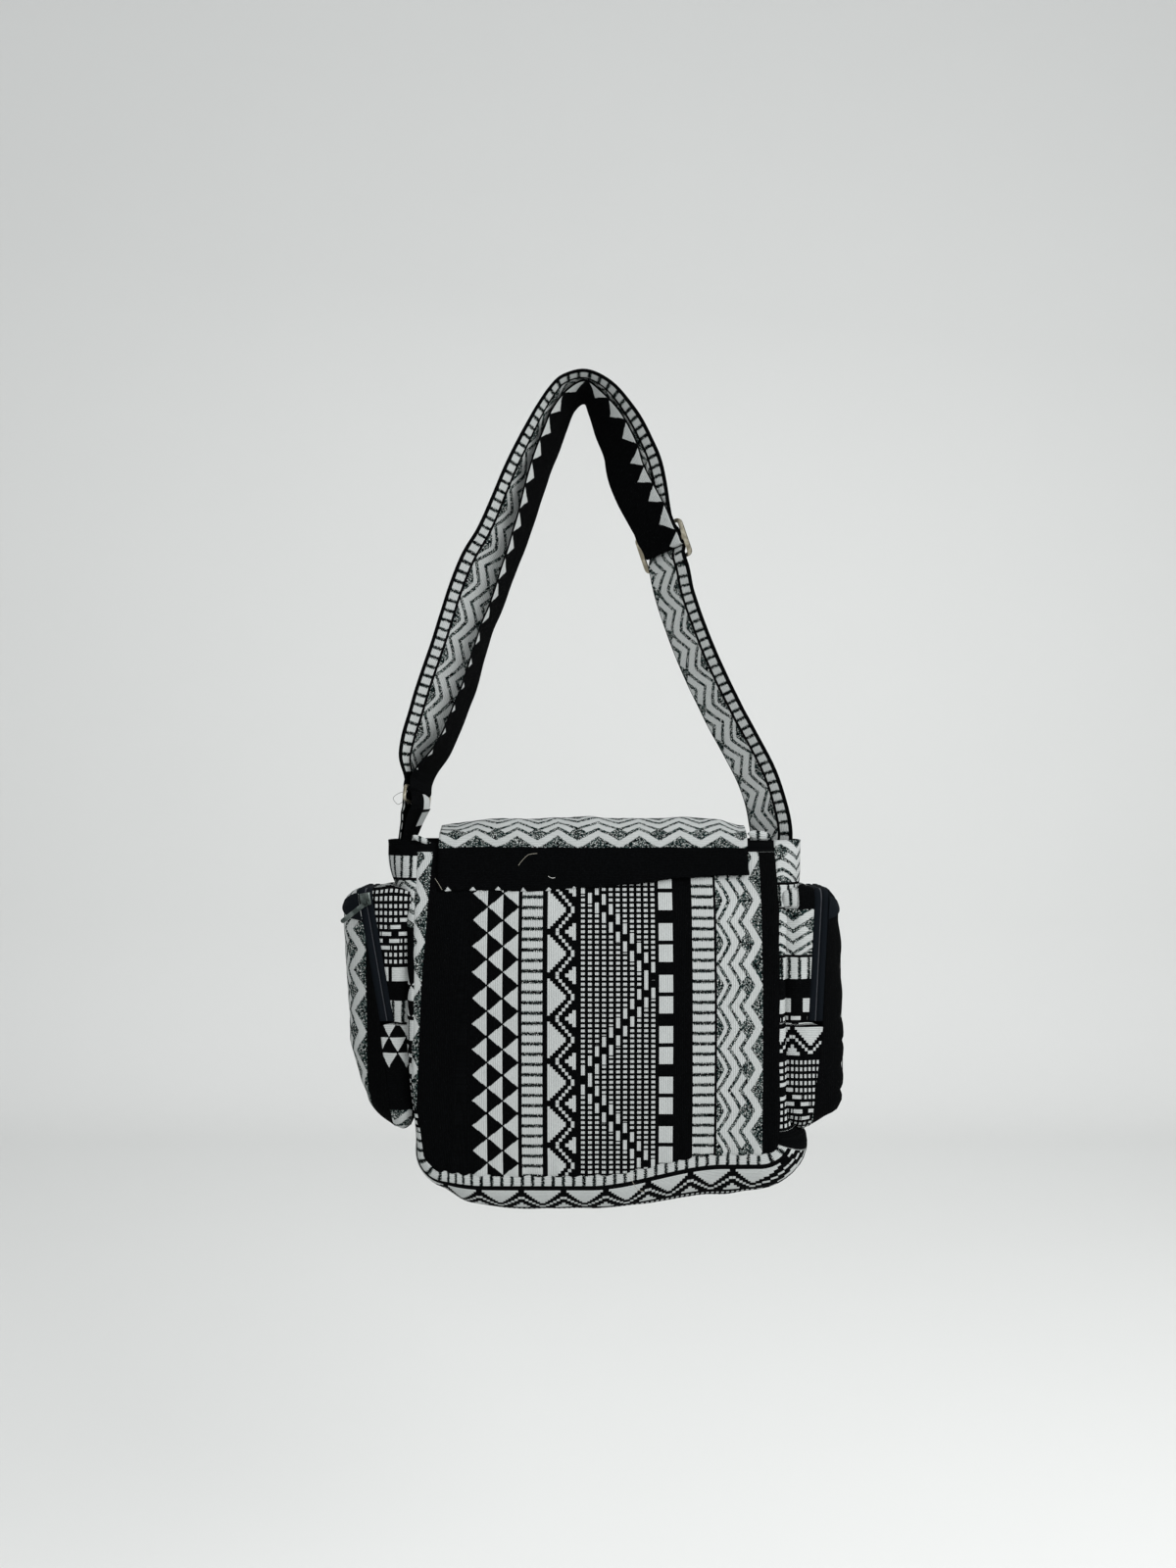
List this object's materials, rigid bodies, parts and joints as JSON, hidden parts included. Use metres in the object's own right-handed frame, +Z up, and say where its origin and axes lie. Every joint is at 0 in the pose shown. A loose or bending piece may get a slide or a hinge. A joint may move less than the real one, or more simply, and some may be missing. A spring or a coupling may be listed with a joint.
{
  "type": "crossbody bag",
  "caption": "Flat woven cloth shoulder bag with a fold-over flap, a zipped pocket on each side and a long doubled strap with a ring and an adjuster.",
  "frame": {"origin": "the point under the strap's fold where the bag hangs, hang_point", "axes": "+Z up, +X to the bag's right side as the picture shows it, -Y out of the back panel that the flap's root is sewn to"},
  "size_m": [0.4218, 0.0943, 0.7008],
  "materials": {
    "jacquard": "ribbed black and white jacquard cloth, matte",
    "strap_cloth": "ribbed black and white jacquard strap, matte",
    "zip_tape": "woven dark navy zip tape, matte",
    "zip_coil": "dark nylon zip coil",
    "gunmetal": "dark plated cast zip metal, satin",
    "antique_brass": "antique brass, worn satin"
  },
  "bodies": {
    "bag": {"back_panel": "jacquard", "front_panel": "jacquard", "left_gusset": "jacquard", "base_gusset": "jacquard", "right_gusset": "jacquard", "flap": "jacquard", "left_pocket_wall": "jacquard", "left_pocket_face": "jacquard", "left_zip_inner_tape": "zip_tape", "left_zip_outer_tape": "zip_tape", "left_zip_teeth": "zip_coil", "right_pocket_wall": "jacquard", "right_pocket_face": "jacquard", "right_zip_inner_tape": "zip_tape", "right_zip_outer_tape": "zip_tape", "right_zip_teeth": "zip_coil", "strap": "strap_cloth", "ring_tab": "strap_cloth"},
    "left_slider": {"left_zip_slider": "gunmetal"},
    "left_pull": {"left_zip_pull": "gunmetal"},
    "right_slider": {"right_zip_slider": "gunmetal"},
    "right_pull": {"right_zip_pull": "gunmetal"},
    "ring": {"strap_ring": "antique_brass"},
    "adjuster": {"strap_slider": "antique_brass"}
  },
  "joints": [
    {"name": "left_zip_run", "type": "slide", "parent": "bag", "child": "left_slider", "axis": [0.1704, 0, -0.9854], "range_m": [0, 0.095]},
    {"name": "left_pull_swing", "type": "hinge", "parent": "left_slider", "child": "left_pull", "pos_m": [-0.17237, -0.0469, -0.43294], "axis": [0, -1, 0], "range_deg": [-45, 90]},
    {"name": "right_zip_run", "type": "slide", "parent": "bag", "child": "right_slider", "axis": [0.0495, 0, 0.9988], "range_m": [0, 0.087]},
    {"name": "right_pull_swing", "type": "hinge", "parent": "right_slider", "child": "right_pull", "pos_m": [0.194, 0.0239, -0.52747], "axis": [0, 1, 0], "range_deg": [-120, 60]},
    {"name": "ring_swing", "type": "hinge", "parent": "bag", "child": "ring", "pos_m": [-0.1361, 0, -0.341], "axis": [-0.3522, -0.9135, 0.2034], "range_deg": [-6, 6]},
    {"name": "adjuster_tilt", "type": "hinge", "parent": "bag", "child": "adjuster", "pos_m": [0.0717, -0.009, -0.136], "axis": [0.779, -0.5592, 0.2836], "range_deg": [-2.5, 2.5]}
  ]
}
